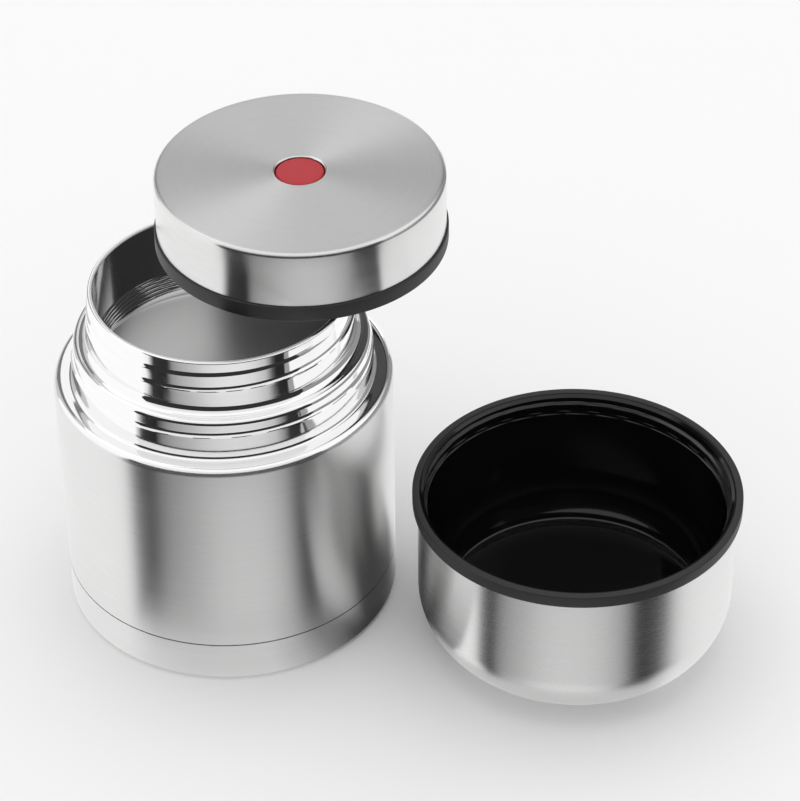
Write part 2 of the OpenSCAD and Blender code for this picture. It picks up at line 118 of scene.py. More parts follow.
def lathe(name, points, place=(0, 0, 0), columns=352, form=None):
    """Turn an outline of (radius r, height z) points, in millimetres, round an upright axis.

    Point (i, j) is place + (r_i cos a_j, r_i sin a_j, z_i), with a_j = 2 pi j / columns.
    form(r, z, a) may change r and z first. An outline that begins and ends on the axis gets
    one point there and a fan of triangles, out to one of the radii above. Any other is closed
    from its last point to its first. It runs outwards along the bottom, up the outside and
    inwards along the top, so that faces point out. Edges over SHARP degrees stay sharp.
    """
    solid = points[0][0] < 1e-9 and points[-1][0] < 1e-9
    rows = points[1:-1] if solid else points
    a = np.arange(columns) * 2 * np.pi / columns
    r, z, a = np.broadcast_arrays(rows[:, :1], rows[:, 1:], a[None, :])
    if form:
        r, z = form(r, z, a)
    xyz = np.stack([r * np.cos(a), r * np.sin(a), z], -1).reshape(-1, 3)
    n = len(rows)
    i, j = np.meshgrid(np.arange(n - 1 if solid else n), np.arange(columns), indexing="ij")
    low, high, j2 = i * columns, (i + 1) % n * columns, (j + 1) % columns
    quads = np.stack([low + j, low + j2, high + j2, high + j], -1)
    faces = quads.reshape(-1, 4).tolist()
    if solid:
        k, k2 = np.arange(columns), (np.arange(columns) + 1) % columns
        foot, tip, top = len(xyz), len(xyz) + 1, (n - 1) * columns
        xyz = np.concatenate([xyz, [[0, 0, points[0][1]], [0, 0, points[-1][1]]]])
        faces += np.stack([np.full(columns, foot), k2, k], 1).tolist()
        faces += np.stack([top + k, top + k2, np.full(columns, tip)], 1).tolist()
    mesh = bpy.data.meshes.new(name)
    mesh.from_pydata(((xyz + np.array(place)) * MM).tolist(), [], faces)
    mesh.polygons.foreach_set("use_smooth", np.ones(len(faces), bool))
    mesh.set_sharp_from_angle(angle=math.radians(SHARP))
    piece = bpy.data.objects.new(name, mesh)
    bpy.context.scene.collection.objects.link(piece)
    print(f"{name}: {n} rows by {columns} columns, {2 * len(faces)} triangles at most")
    return piece


# %% [markdown]
# ## Screw threads
# A rolled thread is a ridge that climbs round the wall and fades in and out at its ends. It
# could be a separate coil laid on the wall, but steel that was rolled has no seam there. So
# the ridge is a height, worked out at each point of the wall, and added to it. The two outer
# threads of the jar look different: their crests and the wall below them run together, so
# that the eye meets a staircase. These are steps that wind down the wall and stay out.

# %% The height of a ridge, and of a staircase
FACE, FACE_MORE = 1.1, 0.15
LEAN, LEAN_MORE = 1.5, 0.7
LARGE_FROM, LARGE_OVER = 0.36, 0.3
CONE, CONE_H = 0.08, 1.1


def smooth(x):
    """Ramp that eases in and out: 0 below 0, 1 above 1, and 3x^2 - 2x^3 between."""
    x = np.clip(x, 0, 1)
    return x * x * (3 - 2 * x)


def windings(a, bearing, turns):
    """For each pass, how many turns lie between the bearing and angle a, wound back."""
    first = ((math.radians(bearing) - a) / (2 * np.pi)) % 1
    return [first + k for k in range(math.ceil(turns))]


def ridge(z, a, top, bearing, pitch, turns, width, flank=0.5, fade=0.125):
    """Share, from 0 to 1, of a right-handed ridge's height at height z and angle a.

    The ridge's middle is at height top on its bearing and falls by pitch in each turn that
    it winds back, so after w turns it is at top - pitch w. The share is a smooth ramp of
    the distance from z to that middle, times a smooth ramp of w towards both ends. Where
    several passes meet, the largest share counts.
    """
    share = np.zeros(z.shape)
    for wound in windings(a, bearing, turns):
        side = smooth((width / 2 - np.abs(z - top + pitch * wound)) / flank)
        ends = smooth(wound / fade) * smooth((turns - wound) / fade)
        share = np.maximum(share, side * ends)
    return share


def steps(z, a, top, bearing, pitch, rise):
    """How far, in millimetres, a wall stands out below a step that winds down it.

    After w turns from its bearing the step starts at height top - pitch w, and its size
    is rise times a smooth ramp of w over the first turn and of 2 - w over the second, so
    the two passes at any angle add up to rise. From its start the wall leans out by a power
    of the distance below. A small step has a face FACE high and the power LEAN. A large one
    has more of both, so it is shallow, then steep, and it goes on as a faint cone.
    """
    out = np.zeros(z.shape)
    for wound in windings(a, bearing, 2):
        tall = rise * smooth(1 - np.abs(wound - 1))
        large = smooth((tall - LARGE_FROM) / LARGE_OVER)
        face = FACE + FACE_MORE * large
        below = top - pitch * wound - z
        lean = np.clip(below / face, 0, 1) ** (LEAN + LEAN_MORE * large)
        out = out + tall * lean + CONE * large * np.clip((below - face) / CONE_H, 0, 1)
    return out


# %% [markdown]
# ## One way to write shader maths
# A finish is a tree of nodes. Wiring dozens of Math nodes by hand hides the formula, so a
# small class wraps a socket and lets Python's operators add the nodes. Everything else
# comes from one method that takes a node's type, its settings and its sockets.

# %% Sockets that can be added and multiplied
class Value:
    """An output socket of a finish's node tree."""

    def __init__(self, finish, socket):
        self.finish, self.socket = finish, socket

    def __add__(self, other):
        return self.finish.math("ADD", self, other)

    def __sub__(self, other):
        return self.finish.math("SUBTRACT", self, other)

    def __rsub__(self, other):
        return self.finish.math("SUBTRACT", other, self)

    def __mul__(self, other):
        return self.finish.math("MULTIPLY", self, other)

    __radd__ = __add__


class Finish:
    """A material, with one method that adds any node to it and short ones for a few."""

    def __init__(self, name):
        self.material = bpy.data.materials.new(name)
        self.material.use_nodes = True
        self.tree = self.material.node_tree
        self.tree.nodes.clear()

    def node(self, kind, settings=None, sockets=None, out=0):
        """Add a node of that kind, set it, fill or link its sockets, and give one output."""
        made = self.tree.nodes.new(kind)
        for key, value in (settings or {}).items():
            if key == "stops":
                ramp = made.color_ramp.elements
                for k, (at, grey) in enumerate(value):
                    stop = ramp[k] if k < 2 else ramp.new(at)
                    stop.position, stop.color = at, (grey, grey, grey, 1)
            else:
                setattr(made, key, value)
        for key, value in (sockets or {}).items():
            if isinstance(value, Value):
                self.tree.links.new(value.socket, made.inputs[key])
            else:
                made.inputs[key].default_value = value
        return Value(self, made.outputs[out])

    def math(self, operation, a, b=0.0):
        """A Math node on two values."""
        return self.node("ShaderNodeMath", {"operation": operation}, {0: a, 1: b})

    def mix(self, share, a, b):
        """Colour a where share is 0 and b where it is 1."""
        sockets = {0: share, 6: a, 7: b}
        return self.node("ShaderNodeMix", {"data_type": "RGBA"}, sockets, out=2)

    def here(self, place=(0, 0, 0)):
        """The point being shaded, in metres from a place that is given in millimetres."""
        point = self.node("ShaderNodeTexCoord", out=3)
        sockets = {"Vector": point, "Location": tuple(-MM * c for c in place)}
        return self.node("ShaderNodeMapping", None, sockets)

    def part(self, vector, axis):
        """One number of a vector: axis is 0 for x, 1 for y and 2 for z."""
        return self.node("ShaderNodeSeparateXYZ", None, {0: vector}, out=axis)

    def noise(self, point, scale, detail):
        """Noise of about that many changes to a unit of length."""
        sockets = {"Vector": point, "Scale": scale, "Detail": detail}
        return self.node("ShaderNodeTexNoise", None, sockets)

    def bump(self, height, distance, strength):
        """A normal tilted by a height, which is in units of the distance, in metres."""
        sockets = {"Height": height, "Distance": distance, "Strength": strength}
        return self.node("ShaderNodeBump", None, sockets)

    def done(self, shader):
        """Send a shader to the material's output, and give the material."""
        output = self.tree.nodes.new("ShaderNodeOutputMaterial")
        self.tree.links.new(shader.socket, output.inputs["Surface"])
        print("finish:", self.material.name, "with", len(self.tree.nodes), "nodes")
        return self.material


def rgba(colour, scale=1.0):
    """A colour, or a grey given as one number, times scale, none above 1, with alpha 1."""
    colour = (colour,) * 3 if isinstance(colour, float) else colour
    return tuple(min(1, c * scale) for c in colour) + (1,)


# %% [markdown]
# ## The camera
# The photograph looks down at the jar from the front with a long lens, so upright walls
# stay nearly parallel. The height, the distance and the lens were solved from the ellipses
# of the round edges, whose flatness gives the tilt.

# %% Camera
def look(place, tilt, roll, lens):
    """Camera at place that looks along +Y, tilted down and then rolled, both in degrees."""
    t, k = math.radians(tilt), math.radians(roll)
    ahead = Vector((0, math.cos(t), -math.sin(t)))
    side, up = Vector((1, 0, 0)), Vector((0, math.sin(t), math.cos(t)))
    right = side * math.cos(k) + up * math.sin(k)
    top = up * math.cos(k) - side * math.sin(k)
    turned = Matrix((right, top, -ahead)).transposed().to_4x4()
    camera = bpy.data.objects.new("camera", bpy.data.cameras.new("camera"))
    camera.data.lens, camera.data.sensor_width, camera.data.clip_end = lens, 36, 50
    camera.matrix_world = Matrix.Translation(place) @ turned
    bpy.context.scene.collection.objects.link(camera)
    bpy.context.scene.camera = camera
    print("camera", round(Vector(place).length, 3), "m from the origin")


look(place=(0.0498, -0.72392, 0.62221), tilt=37.687, roll=-0.672, lens=144.11)

# %% [markdown]
# ## Plain light
# The world is an even white and gives most of the light. One broad lamp overhead adds the
# soft shadow at the feet. The floor is nearly white and matt, and mirror rays miss it.

# %% World, lamp and floor
WORLD, FLOOR_GREY, FLOOR_DRIFT = 0.94, 0.9, 0.005
FLOOR_HALF, FLOOR_UNDER = 6, 0.0002

scene = bpy.context.scene
scene.view_settings.view_transform = "Standard"
scene.world = bpy.data.worlds.new("studio")
scene.world.use_nodes = True
scene.world.node_tree.nodes["Background"].inputs["Color"].default_value = rgba(WORLD)
scene.world.cycles.sampling_method = "NONE"


def lamp(name, place, size, power):
    """Square lamp of that size, in metres, that looks straight down and has no mirror image."""
    made = bpy.data.objects.new(name, bpy.data.lights.new(name, "AREA"))
    made.data.size, made.data.energy = size, power
    made.matrix_world = Matrix.Translation(place)
    made.visible_camera = made.visible_glossy = False
    scene.collection.objects.link(made)


lamp("overhead", place=(0.05, 0.1, 1.6), size=1.2, power=4.0)


def matt(name, grey, drift):
    """Floor finish: a matt grey whose tone drifts by that share over a hand's width."""
    f = Finish(name)
    mark = f.noise(f.here(), 6.0, 2.0)
    tone = f.mix(mark, rgba(grey, 1 - drift), rgba(grey, 1 + drift))
    return f.done(f.node("ShaderNodeBsdfDiffuse", None, {"Color": tone}))


def sheet_of(name, grid):
    """Open sheet through a grid of points in metres, whose rows and columns are its axes."""
    rows, columns = grid.shape[:2]
    i, j = np.meshgrid(np.arange(rows - 1), np.arange(columns - 1), indexing="ij")
    k = i * columns + j
    quads = np.stack([k, k + 1, k + columns + 1, k + columns], -1).reshape(-1, 4)
    mesh = bpy.data.meshes.new(name)
    mesh.from_pydata(grid.reshape(-1, 3).tolist(), [], quads.tolist())
    made = bpy.data.objects.new(name, mesh)
    scene.collection.objects.link(made)
    return made


across = np.linspace(-FLOOR_HALF, FLOOR_HALF, 25)
x, y = np.meshgrid(across, across)
floor = sheet_of("floor", np.stack([x, y, np.full(x.shape, -FLOOR_UNDER)], -1))
floor.data.materials.append(matt("pale floor", FLOOR_GREY, FLOOR_DRIFT))
floor.visible_glossy = False
print("floor of", len(floor.data.polygons), "squares")

# %% [markdown]
# ## What the steel reflects
# Polished metal has hardly a colour of its own: it shows its surroundings. In the
# photograph these are white screens with narrow dark gaps, which draw upright stripes down
# the round walls. Here each screen is a patch of a wide sphere, given by its bearings and
# heights in degrees. Flat discs stand in for the table, with a painted shadow between the
# jar and the bowl, and paint reflections over the open bowl and the mouth. Inside the jar a
# disc and two upright tubes paint light and shade into what its steel mirrors. Only mirror
# rays see any of them, so they cast no light and no shadow on anything.

# %% Screens for mirror rays
FRONT = [(-180, 1), (-152, 1), (-147, 0.04), (-133, 0.02), (-129, 0.3), (-123, 0.42),
         (-110, 0.58), (-100, 0.72), (-90, 0.8), (-80, 0.83), (-70, 0.82), (-61, 0.74),
         (-51, 0.55), (-45, 0.1), (-42, 0.02), (-27, 0.02), (-22, 0.6), (-14, 0.95), (-6, 1),
         (180, 1)]
LOW = [(-180, 1), (-156, 1), (-151, 0.04), (-139, 0.02), (-134, 0.25), (-125, 0.36),
       (-110, 0.49), (-100, 0.6), (-90, 0.67), (-80, 0.7), (-70, 0.69), (-61, 0.66),
       (-51, 0.55), (-44, 0.3), (-40, 0.04), (-28, 0.02), (-22, 0.55), (-13, 0.9), (-4, 1),
       (180, 1)]
SCREENS_Z = 0.1


def glow(name, stops, strength=1.0, centre=(0, 0), front=False):
    """Screen finish that shines with strength times a grey that goes by the bearing.

    The bearing is the angle of (x, y) about centre, in millimetres, and the grey is drawn
    evenly between the stops of (bearing, grey). With front set, the screen is clear from
    behind.
    """
    f = Finish(name)
    own = f.here((*centre, 0))
    turn = f.math("ARCTAN2", f.part(own, 1), f.part(own, 0)) * (0.5 / math.pi) + 0.5
    stops = [((bearing + 180) / 360, grey) for bearing, grey in stops]
    tone = f.node("ShaderNodeValToRGB", {"stops": stops}, {0: turn})
    shine = f.node("ShaderNodeEmission", None, {"Color": tone, "Strength": strength})
    if front:
        back, clear = f.node("ShaderNodeNewGeometry", out=6), f.node("ShaderNodeBsdfTransparent")
        shine = f.node("ShaderNodeMixShader", None, {0: back, 1: shine, 2: clear})
    return f.done(shine)


def card(name, grid, finish):
    """Sheet through a grid of points in metres that only mirror rays see."""
    made = sheet_of(name, grid)
    made.data.materials.append(finish)
    made.visible_camera = made.visible_diffuse = made.visible_shadow = False
    made.visible_transmission = made.visible_volume_scatter = False


def screen(name, bearings, heights, distance, stops, strength=1.0):
    """Patch of a sphere about (0, 0, SCREENS_Z): the point at bearing b and height h lies
    distance (cos h cos b, cos h sin b, sin h) from there, for b and h evenly between limits.
    """
    b, h = np.radians(np.meshgrid(np.linspace(*bearings, 65), np.linspace(*heights, 17)))
    ball = np.stack([np.cos(h) * np.cos(b), np.cos(h) * np.sin(b), np.sin(h)], -1)
    card(name, ball * distance + np.array([0, 0, SCREENS_Z]), glow(name, stops, strength))


def even(grey):
    """Stops of one grey all round."""
    return [(-180, grey), (180, grey)]


screen("white dome", (0, 360), (-90, 90), 2.2, even(1), 1.05)
screen("front card", (-156, 0), (-36, -24.5), 0.5, FRONT)
screen("middle front card", (-156, 0), (-46, -36), 0.5, LOW)
screen("low front card", (-156, 0), (-90, -46), 0.5, LOW, 1.4)
screen("dark lintel", (-150, -26), (-24.5, 28), 0.49, even(0.03))
screen("grey lintel", (-26, 55), (-20, 20), 0.49, even(0.3))
screen("light front", (-155, -27), (28, 55), 0.5, even(0.87))
screen("back", (35, 145), (-8, 90), 2.1, even(0.62))
screen("back dark left", (104, 132), (12, 42), 2.0, even(0.2))
screen("back dark right", (50, 78), (12, 42), 2.0, even(0.2))
screen("back light left", (112, 150), (46, 70), 2.0, even(1), 1.5)
screen("back grey right", (34, 62), (46, 70), 2.0, even(0.9))
screen("back light right", (66, 88), (-8, 14), 2.0, even(1), 1.3)
screen("back light middle", (93, 106), (28, 46), 1.9, even(1))

# %% Discs and tubes for mirror rays
AXIS, BOWL_AXIS = (0, 0), (BOWL_X, BOWL_Y)
ROOM_R, ROOM_LOW_Z, ROOM_TOP_Z, PAINTED_SIDE = 42.8, 17, 75, (-115, 75)


def disc(name, place, height, radius, stops, centre=None, front=False):
    """Flat disc that faces up at that height: x + r cos a, y + r sin a, in millimetres.

    The bearings of its stops are about its own middle, or else about centre.
    """
    r, a = np.meshgrid(np.linspace(0.001, radius, 5), np.radians(np.linspace(0, 360, 97)))
    x, y = place[0] + r * np.cos(a), place[1] + r * np.sin(a)
    grid = np.stack([x, y, np.full(r.shape, height)], -1)
    card(name, grid * MM, glow(name, stops, centre=centre or place, front=front))


def tube(name, radius, heights, bearings, stops):
    """Upright round wall that faces inwards: r cos a, r sin a and z, in millimetres."""
    z, a = np.meshgrid(np.linspace(*heights, 5), np.radians(np.linspace(*bearings, 65)))
    grid = np.stack([radius * np.cos(a), radius * np.sin(a), z], -1)
    card(name, grid * MM, glow(name, stops, front=True))


# Painted shadow: the dark bearings of both table discs, between the jar and the bowl, paint the
# shade there as the steel mirrors it. Their light bearings stand for the pale table.
disc("table with painted shadow under jar", AXIS, -0.5, 70, [
    (-180, 1), (-133, 1), (-126, 0.95), (-120, 0.87), (-105, 0.8), (-73, 0.8), (-61, 0.56),
    (-50, 0.26), (-38, 0.05), (-21, 0.04), (-10, 0.1), (0, 0.25), (12, 0.6), (24, 1), (180, 1)])
disc("table with painted shadow under bowl", BOWL_AXIS, -0.4, 52, [
    (-180, 0.1), (-168, 0.5), (-150, 0.7), (-60, 0.7), (-45, 1), (82, 1), (106, 0.05),
    (180, 0.06)])
# Painted reflection: steel that looks down into the open bowl sees these two discs, light with a
# dark gap, instead of the bowl's dark inside.
disc("grey painted reflection over bowl", BOWL_AXIS, BOWL_H + 0.1, BAND_R, [
    (-180, 0.35), (-105, 0.35), (-97, 0.03), (-44, 0.03), (-36, 0.9), (120, 0.9),
    (135, 0.35), (180, 0.35)], front=True)
disc("light painted reflection over bowl", BOWL_AXIS, BOWL_H + 0.2, 40, [
    (-180, 1), (-106, 1), (-97, 0.03), (-44, 0.03), (-36, 1), (180, 1)], front=True)
# Painted light and shade inside the jar: this disc is light on one side and dark on the other,
# the tube in the vessel paints shade and the tube in the neck paints light, all into what the
# steel inside mirrors.
disc("painted light and shade in vessel", AXIS, ROOM_LOW_Z, ROOM_R, [
    (-180, 0.03), (-97, 0.03), (-80, 0.4), (-64, 0.85), (62, 0.85), (90, 0.35),
    (112, 0.03), (180, 0.03)], front=True)
tube("painted shade in vessel", ROOM_R, (ROOM_LOW_Z, ROOM_TOP_Z), PAINTED_SIDE, even(0.03))
tube("painted light in neck", MOUTH_R - 0.7, (88, 104), PAINTED_SIDE, even(0.9))
# Painted reflection: steel that looks down into the mouth sees the front screens' greys here
# instead of the jar's dark inside.
disc("painted reflection over mouth", AXIS, LIP_Z + 0.1, MOUTH_R, FRONT, centre=(LID_X, 0), front=True)

# %% [markdown]
# ## Steel
# The walls and the lid were brushed while they turned, so the scratches are rings about
# each piece's axis. Such a grain smears reflections across the rings. A noise that changes
# fast from ring to ring and slowly along them gives the scratches, and the shader's
# anisotropy gives the smear. The neck was polished instead and is nearly a mirror, so from
# the shoulder up the jar takes a second set of values.

# %% Steel finish
def steel(name, place, rough=0.3, shine=0.76, smear=0.8, above=None, hole=0):
    """Brushed steel, with its rings about the upright axis at place, in millimetres.

    The grain is a noise over (unit x, unit y, radius - height), where the unit vector
    points from the axis to the surface. With above = (height, shine, rough, share, blend)
    the steel is another from that height on, outside the radius hole, with that share of
    the grain's height and a smooth blend over twice that distance.
    """
    f = Finish(name)
    own = f.here(place)
    height = f.part(own, 2)
    flat = f.node("ShaderNodeVectorMath", {"operation": "MULTIPLY"}, {0: own, 1: (1, 1, 0)})
    radius = f.node("ShaderNodeVectorMath", {"operation": "LENGTH"}, {0: flat}, out=1)
    unit = f.node("ShaderNodeVectorMath", {"operation": "NORMALIZE"}, {0: flat})
    ring = radius - height

    def grain(along, over, detail):
        """Noise with so many changes round a ring and in a metre across the rings."""
        rise = f.node("ShaderNodeCombineXYZ", None, {2: ring * over})
        spot = f.node("ShaderNodeVectorMath", {"operation": "MULTIPLY_ADD"},
                      {0: unit, 1: (along, along, 0), 2: rise})
        return f.noise(spot, 1.0, detail)

    mark = grain(5.0, 5200.0, 3.0) * 0.7 + grain(1.5, 700.0, 2.0) * 0.3
    tone = f.mix(mark, rgba(shine, 0.9), (shine * 1.1, shine * 1.1, shine * 1.09, 1))
    blur = mark * 0.12 + (rough - 0.06)
    rise = mark
    if above:
        level, bright, calm, depth, blend = above
        share = f.node("ShaderNodeMapRange", {"interpolation_type": "SMOOTHSTEP"},
                       {0: height, 1: (level - blend) * MM, 2: (level + blend) * MM})
        if hole:
            share = share * f.node("ShaderNodeMapRange", None,
                                   {0: radius, 1: hole * MM, 2: (hole + 0.2) * MM})
        tone = f.mix(share, tone, f.mix(mark, rgba(bright, 0.91), rgba(bright, 1.09)))
        blur = blur + share * (calm + mark * 0.04 - 0.02 - blur)
        rise = mark * (1 - share * (1 - depth))
    return f.done(f.node("ShaderNodeBsdfPrincipled", None, {
        "Base Color": tone, "Metallic": 1.0, "Roughness": blur,
        "Normal": f.bump(rise, 0.0001, 0.05), "Anisotropic": smear,
        "Anisotropic Rotation": 0.25}))


jar_steel = steel("jar steel", (0, 0, 0), above=(75.2, 0.93, 0.07, 0.2, 0.4))
base_steel = steel("base steel", (0, 0, 0))
vessel_steel = steel("vessel steel", (0, 0, 0), shine=0.68, smear=0.6,
                     above=(79, 0.7, 0.12, 0.3, 0.4))
lid_steel = steel("lid steel", (LID_X, LID_Y, 0), rough=0.22,
                  above=(LID_Z + LID_H - 0.13, 0.7, 0.4, 1, 0.1),
                  hole=COLLAR_R + COLLAR_ROUND - 0.1)
bowl_steel = steel("bowl steel", BOWL, rough=0.26)

# %% [markdown]
# ## Plastics
# The rim under the lid and the band of the bowl are moulded with a fine matt texture. The
# bowl's liner and the button came out of polished moulds. A fine noise as a bump gives the
# first, and a broad, very shallow one the slight waves that moulded gloss always has.

# %% Plastic finishes
def plastic(name, colour, rough, grain, depth, coat=0.0):
    """Moulded plastic: a colour that drifts a little, with grain bumps to the metre."""
    f = Finish(name)
    here = f.here()
    fine, broad = f.noise(here, grain, 3.0), f.noise(here, 45.0, 2.0)
    mark = fine * 0.5 + broad * 0.5
    return f.done(f.node("ShaderNodeBsdfPrincipled", None, {
        "Base Color": f.mix(mark, rgba(colour, 0.86), rgba(colour, 1.14)),
        "Roughness": mark * 0.1 + (rough - 0.05), "Normal": f.bump(fine, depth, 0.3),
        "Coat Weight": coat, "Coat Roughness": 0.05}))


rim_black = plastic("rim black", (0.016, 0.016, 0.017), 0.5, 2600, 0.00008)
inner_black = plastic("inner black", (0.02, 0.02, 0.021), 0.42, 1500, 0.00005)
band_black = plastic("band black", (0.016, 0.016, 0.017), 0.5, 2600, 0.00008)
liner_black = plastic("liner black", (0.004, 0.004, 0.0045), 0.09, 60, 0.00003)
button_red = plastic("button red", (0.43, 0.004, 0.014), 0.34, 2200, 0.00004)
silicone = plastic("silicone", (0.62, 0.62, 0.6), 0.55, 1800, 0.00004)
foam = plastic("foam", (0.75, 0.66, 0.46), 0.9, 1200, 0.0003)
getter_grey = plastic("getter grey", (0.16, 0.16, 0.17), 0.7, 3000, 0.00008)
bead_glass = plastic("bead glass", (0.06, 0.09, 0.05), 0.08, 300, 0.00002, coat=0.5)

# %% [markdown]
# ## Foil and bare wire
# Behind the walls there is crinkled foil, and under the button a coil of spring wire. Both
# are metals without a brushed direction, so their shine is the same both ways.

# %% Plain metals
def metal(name, colour, rough, grain, depth):
    """Metal without a direction, with a noise of so many bumps to the metre."""
    f = Finish(name)
    mark = f.noise(f.here(), grain, 3.0)
    return f.done(f.node("ShaderNodeBsdfPrincipled", None, {
        "Base Color": f.mix(mark, rgba(colour, 0.92), rgba(colour, 1.08)), "Metallic": 1.0,
        "Roughness": mark * 0.1 + (rough - 0.05), "Normal": f.bump(mark, depth, 0.4)}))


foil = metal("foil", (0.85, 0.84, 0.82), 0.25, 220, 0.0006)
wire = metal("spring wire", (0.5, 0.5, 0.51), 0.3, 2500, 0.00003)
pressed = metal("pressed steel", (0.58, 0.58, 0.58), 0.35, 1500, 0.00004)

# %% [markdown]
# ## The jar's outer wall
# One steel sheet goes from the seam near the foot over the shoulder and the lower ring to
# the lip. Two threads were rolled into it: the upper holds the lid, the lower the bowl. The
# outline follows both faces of the sheet, with close rows where the threads run. Both
# threads are shown as winding steps. Rolling also left a rounded edge on top of the ring, a
# hollow cove at the foot of the neck and a small one at the foot of the ring.

# %% Outer wall
def fit(piece, body, node, finish):
    """Let a turned piece stand for a CAD node, ride with its body, and wear a finish."""
    piece.data.materials.append(finish)
    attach(piece, body)
    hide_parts(node)


NEAR = 0.01
JOGGLE_R, JOGGLE_Z = JAR_R - SHEET - FIT, 2.4
RING_OUT, NECK_OUT = RING_R + THREAD_H, NECK_R + THREAD_H
RING_TOP, NECK_TOP, COVE, EDGE, LIP_EDGE = RING_OUT - 0.75, 36.65, 2.6, 1.4, 0.35
COVE_Z, EDGE_Z, LIP_EDGE_Z = LEDGE_Z - 0.05 + COVE, LEDGE_Z - EDGE, LIP_Z - LIP_EDGE
RING_COVE, RING_COVE_Z, DIP_R = 1, SHOULDER_Z + 0.94, RING_OUT + 1.8
SHOULDER = (JAR_R - SHOULDER_ROUND, SHOULDER_Z - SHOULDER_ROUND)
WELD_R, WELD_Z = MOUTH_R + SHEET + 0.08, LIP_Z - 0.9

wall_line = outline(
    (JOGGLE_R - SHEET, JOGGLE_Z), (JOGGLE_R, JOGGLE_Z), (JOGGLE_R, SEAM_Z), (JAR_R, SEAM_Z),
    line(JAR_R, SEAM_Z + 1, JAR_R, SHOULDER_Z - SHOULDER_ROUND, 6),
    arc(*SHOULDER, SHOULDER_ROUND, 0, 90, 14), (DIP_R, SHOULDER_Z),
    arc(RING_OUT + RING_COVE, RING_COVE_Z, RING_COVE, 270, 180),
    line(RING_OUT, RING_COVE_Z, RING_OUT, EDGE_Z, 70),
    arc(RING_TOP - EDGE, EDGE_Z, EDGE, 0, 90, 16),
    arc(NECK_OUT + COVE, COVE_Z, COVE, 270, 180, 24),
    line(NECK_OUT, COVE_Z, NECK_OUT, LIP_EDGE_Z, 108),
    arc(NECK_TOP - LIP_EDGE, LIP_EDGE_Z, LIP_EDGE, 0, 90, 8),
    (WELD_R, LIP_Z), (WELD_R, WELD_Z), (NECK_R - SHEET, WELD_Z),
    (NECK_R - SHEET, LEDGE_Z - SHEET), (RING_R - SHEET, LEDGE_Z - SHEET),
    (RING_R - SHEET, SHOULDER_Z - SHEET), arc(*SHOULDER, SHOULDER_ROUND - SHEET, 90, 0),
    (JAR_R - SHEET, SEAM_Z + SHEET), (JOGGLE_R - SHEET, SEAM_Z + SHEET))


def on_line(r, z, radius, low, high):
    """True at the points of an outline's upright line at that radius and those heights."""
    return (np.abs(r - radius) < NEAR) & (z > low - NEAR) & (z < high + NEAR)


def wall_threads(r, z, a):
    """Both outer threads: one step winds down the neck, another down the lower ring."""
    neck = NECK_TOP + steps(z, a, top=103.28, bearing=60, pitch=4.5, rise=1.0)
    ring = RING_TOP + steps(z, a, top=88.2, bearing=-108, pitch=3.5, rise=0.75)
    on_neck = on_line(r, z, NECK_OUT, COVE_Z, LIP_EDGE_Z)
    on_ring = on_line(r, z, RING_OUT, RING_COVE_Z, EDGE_Z)
    r = np.where(on_ring, np.minimum(ring, RING_OUT), r)
    return np.where(on_neck, np.minimum(neck, NECK_OUT), r), z


fit(lathe("jar_wall", wall_line, form=wall_threads),
    "jar", "outer_shell", jar_steel)

# %% [markdown]
# ## The base cup
# A separate cup closes the foot. A hair-wide groove shows where it meets the wall, and a
# shallow ring is stamped into its underside, so that the foot stands on its edge.

# %% Base cup
cup_line = outline(
    (0, 0), (FAN_R, 0), (STAMP_IN, 0), (STAMP_IN + STAMP_H, STAMP_H),
    (STAMP_OUT - STAMP_H, STAMP_H), (STAMP_OUT, 0),
    arc(JAR_R - BASE_ROUND, BASE_ROUND, BASE_ROUND, -90, 0, 12),
    (JAR_R, SEAM_Z - SEAM_GAP), (JAR_R - SHEET, SEAM_Z - SEAM_GAP),
    arc(JAR_R - BASE_ROUND, BASE_ROUND, BASE_ROUND - SHEET, 0, -90),
    (STAMP_OUT + SHEET, SHEET), (STAMP_OUT - STAMP_H + SHEET, STAMP_H + SHEET),
    (STAMP_IN + STAMP_H - SHEET, STAMP_H + SHEET), (STAMP_IN - SHEET, SHEET),
    (FAN_R, SHEET), (0, SHEET))
fit(lathe("foot_cup", cup_line), "jar", "base_cup", base_steel)

# %% [markdown]
# ## The food vessel
# The inner wall is a second sheet, welded to the outer one at the lip. It widens below the
# neck, which keeps the mouth small and the room large. A fine thread is pressed into the
# neck, a good way below the lip.

# %% Inner vessel
def vessel_line(t):
    """Outline of the vessel's face at distance t outside the food, from floor to neck."""
    tilt = math.degrees(FLARE_ANGLE)
    return outline(
        (FAN_R, FLOOR_Z - t),
        arc(VESSEL_R - CORNER_R, FLOOR_Z + CORNER_R, CORNER_R + t, -90, 0, 16),
        line(VESSEL_R + t, FLOOR_Z + CORNER_R + 1, VESSEL_R + t, FLARE_LOW_Z - 1, 8),
        arc(VESSEL_R - FLARE_R, FLARE_LOW_Z, FLARE_R + t, 0, tilt, 12),
        arc(MOUTH_R + FLARE_R, FLARE_TOP_Z, FLARE_R - t, 180 + tilt, 180, 12))


vessel_points = outline(
    (0, FLOOR_Z - SHEET), vessel_line(SHEET), (MOUTH_R + SHEET, LIP_Z),
    arc(MOUTH_R + MOUTH_EDGE, LIP_Z - MOUTH_EDGE, MOUTH_EDGE, 90, 180, 6),
    line(MOUTH_R, LIP_Z - 0.5, MOUTH_R, FLARE_TOP_Z + 0.1, 190), vessel_line(0)[::-1],
    (0, FLOOR_Z))


def fine_thread(r, z, a):
    """The fine thread stands into the mouth, on the inner face alone."""
    share = ridge(z, a, top=LEDGE_Z - 1.2, bearing=85, pitch=1.4, turns=5.0, width=1.0,
                  flank=0.45)
    return np.where(np.abs(r - MOUTH_R) < NEAR, MOUTH_R - FINE_H * share, r), z


fit(lathe("food_vessel", vessel_points, columns=320, form=fine_thread),
    "jar", "inner_vessel", vessel_steel)

# %% [markdown]
# ## The lid
# A thin steel cover is spun over a moulded body. At the middle its edge is rolled down
# round the button. Only the body's dark rim shows below the cover.

